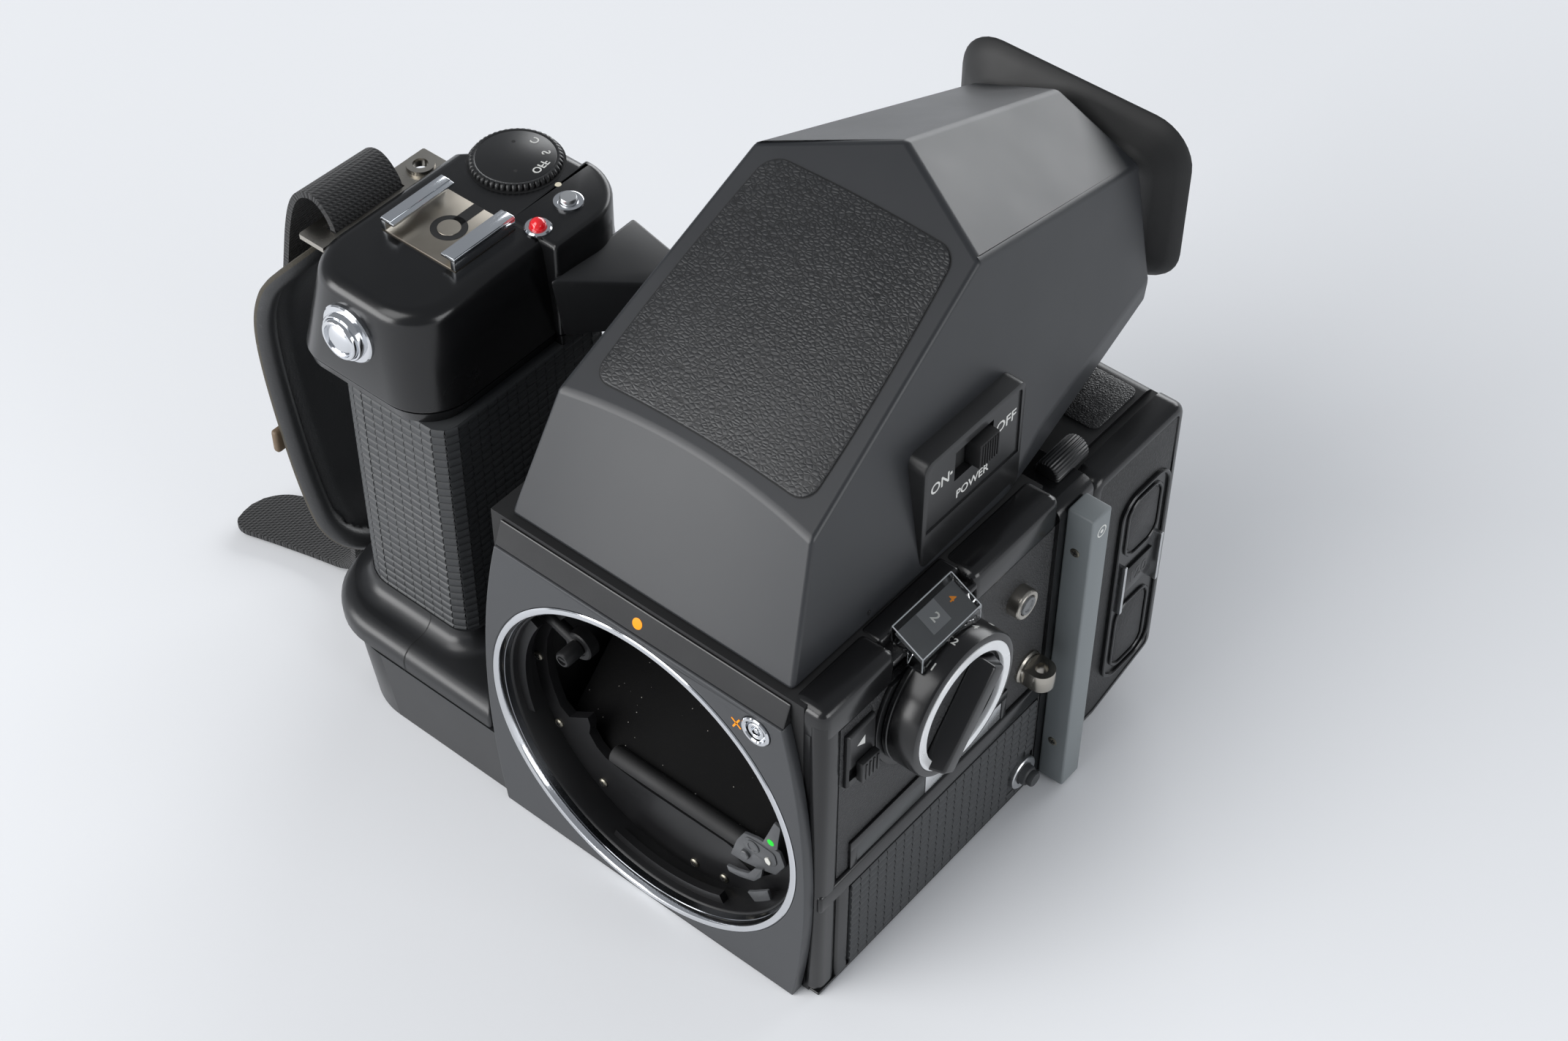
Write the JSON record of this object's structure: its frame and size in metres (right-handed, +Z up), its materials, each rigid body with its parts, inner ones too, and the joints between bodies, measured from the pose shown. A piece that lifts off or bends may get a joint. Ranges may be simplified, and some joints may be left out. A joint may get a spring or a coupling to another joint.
{
  "type": "medium format film camera",
  "caption": "Boxy medium format film camera with an open round lens mount, tall prism finder, roll film back and side grip with a hand strap.",
  "frame": {"origin": "mouth of the tripod socket in the body's bottom face", "axes": "+X to the right seen from the front, +Y towards the film back, +Z up"},
  "size_m": [0.2119, 0.1443, 0.1591],
  "materials": {
    "black_cast": "satin black enamel on die casting",
    "black_paint": "satin black paint",
    "black_gloss": "semi-gloss black enamel",
    "grey_paint": "fine satin dark grey paint",
    "slate_paint": "satin slate grey paint",
    "black_matte": "matte anti-reflection black",
    "flock": "black flocking",
    "brass_bush": "plain turned brass",
    "nickel": "nickel plate",
    "chrome": "bright satin chrome",
    "steel": "bright steel",
    "steel_dark": "blackened steel",
    "mirror": "front surface mirror",
    "screen_glass": "ground glass",
    "prism": "polished optical glass",
    "lens": "coated optical glass",
    "clear": "clear moulded acrylic",
    "leather": "pebbled black leatherette",
    "strap_leather": "smooth black leather with a brown cut edge",
    "rubber": "black rubber, brick pattern on the grip",
    "black_plastic": "satin black moulded plastic",
    "grey_plastic": "dark grey moulded plastic",
    "paper": "backing paper on a black spool",
    "webbing": "woven black nylon webbing"
  },
  "bodies": {
    "camera": {"body_shell": "black_cast", "tripod_bush": "brass_bush", "front_plate": "grey_paint", "pc_socket": "nickel", "top_front_bar": "black_gloss", "lens_mount_ring": "chrome", "throat_plate": "black_matte", "mount_screws": "steel", "mirror_pin": "steel", "lower_baffle": "flock", "focusing_screen": "screen_glass", "side_frame": "black_gloss", "side_leather": "leather", "rubber_panel": "rubber", "release_socket": "chrome", "strap_lug": "nickel", "release_housing": "black_plastic", "button_collar": "chrome", "dial_base": "black_cast", "dial_magnifier": "clear", "finder_cover": "black_paint", "prism_glass": "prism", "eyepiece_lens": "lens", "eyecup": "rubber", "finder_leather": "leather", "power_box": "black_plastic", "back_frame": "black_paint", "film_insert": "black_matte", "base_cover": "black_plastic", "grip_base": "black_plastic", "grip_column": "rubber", "grip_head": "black_plastic", "hot_shoe": "nickel", "head_collars": "chrome", "grip_web": "black_plastic", "strap_brackets": "nickel", "hand_strap_pad": "strap_leather", "hand_strap_webbing": "webbing"},
    "mirror": {"mirror_glass": "mirror", "mirror_holder": "steel_dark"},
    "drive_pin": {"drive_pin": "steel_dark"},
    "signal_lever": {"signal_lever": "steel_dark"},
    "release_slider": {"release_slider": "black_plastic"},
    "side_button": {"side_button": "grey_plastic"},
    "shutter_dial": {"shutter_dial": "black_plastic", "dial_ring": "chrome"},
    "power_switch": {"power_switch": "black_plastic"},
    "back_door": {"back_door": "black_paint", "end_cap": "grey_paint", "side_bezel": "grey_plastic"},
    "squeeze_tab_front": {"squeeze_tab_front": "chrome"},
    "squeeze_tab_rear": {"squeeze_tab_rear": "chrome"},
    "back_latch": {"back_latch": "black_plastic"},
    "take_up_spool": {"take_up_spool": "black_plastic"},
    "supply_spool": {"supply_spool": "paper"},
    "dark_slide": {"dark_slide_blade": "steel", "dark_slide_handle": "slate_paint"},
    "mode_dial": {"mode_dial": "black_plastic"},
    "top_button": {"top_button": "chrome"},
    "release_button": {"release_button": "chrome"}
  },
  "joints": [
    {"name": "mirror_swing", "type": "hinge", "parent": "camera", "child": "mirror", "pos_m": [0, 0.029, 0.085], "axis": [-1, 0, 0], "range_deg": [0, 45], "stiffness_Nm_per_rad": 0.03, "springref_deg": -34.38},
    {"name": "drive_pin_turn", "type": "hinge", "parent": "camera", "child": "drive_pin", "pos_m": [-0.025, -0.036, 0.056], "axis": [0, -1, 0], "continuous": true},
    {"name": "signal_lever_turn", "type": "hinge", "parent": "camera", "child": "signal_lever", "pos_m": [0.024, -0.036, 0.0295], "axis": [0, -1, 0], "range_deg": [0, 20], "stiffness_Nm_per_rad": 0.005, "springref_deg": -5.73},
    {"name": "release_slide", "type": "slide", "parent": "camera", "child": "release_slider", "axis": [0, -1, 0], "range_m": [0, 0.003], "stiffness_N_per_m": 150},
    {"name": "side_button_press", "type": "slide", "parent": "camera", "child": "side_button", "axis": [-1, 0, 0], "range_m": [0, 0.001], "stiffness_N_per_m": 400},
    {"name": "shutter_dial_turn", "type": "hinge", "parent": "camera", "child": "shutter_dial", "pos_m": [0.046, -0.007, 0.071], "axis": [1, 0, 0], "range_deg": [-150, 150]},
    {"name": "power_switch_slide", "type": "slide", "parent": "camera", "child": "power_switch", "axis": [0, -1, 0], "range_m": [0, 0.0056]},
    {"name": "back_door_swing", "type": "hinge", "parent": "camera", "child": "back_door", "pos_m": [0, 0.0488, 0.0016], "axis": [-1, 0, 0], "range_deg": [0, 85]},
    {"name": "front_tab_squeeze", "type": "slide", "parent": "back_door", "child": "squeeze_tab_front", "axis": [0, 1, 0], "range_m": [0, 0.001], "stiffness_N_per_m": 300},
    {"name": "rear_tab_squeeze", "type": "slide", "parent": "back_door", "child": "squeeze_tab_rear", "axis": [0, -1, 0], "range_m": [0, 0.001], "stiffness_N_per_m": 300},
    {"name": "back_latch_slide", "type": "slide", "parent": "camera", "child": "back_latch", "axis": [-1, 0, 0], "range_m": [0, 0.003], "stiffness_N_per_m": 200},
    {"name": "take_up_turn", "type": "hinge", "parent": "camera", "child": "take_up_spool", "pos_m": [0, 0.063, 0.064], "axis": [1, 0, 0], "continuous": true},
    {"name": "supply_turn", "type": "hinge", "parent": "camera", "child": "supply_spool", "pos_m": [0, 0.063, 0.021], "axis": [1, 0, 0], "continuous": true},
    {"name": "dark_slide_pull", "type": "slide", "parent": "camera", "child": "dark_slide", "axis": [1, 0, 0], "range_m": [0, 0.072]},
    {"name": "mode_dial_turn", "type": "hinge", "parent": "camera", "child": "mode_dial", "pos_m": [-0.0865, 0.0164, 0.12], "axis": [0, 0, 1], "range_deg": [-60, 0]},
    {"name": "top_button_press", "type": "slide", "parent": "camera", "child": "top_button", "axis": [0, 0, -1], "range_m": [0, 0.001], "stiffness_N_per_m": 400},
    {"name": "release_press", "type": "slide", "parent": "camera", "child": "release_button", "axis": [0, 1, 0], "range_m": [0, 0.0015], "stiffness_N_per_m": 500}
  ],
  "couplings": [
    {"joint": "take_up_turn", "follows": "supply_turn", "ratio": 1.8333}
  ]
}
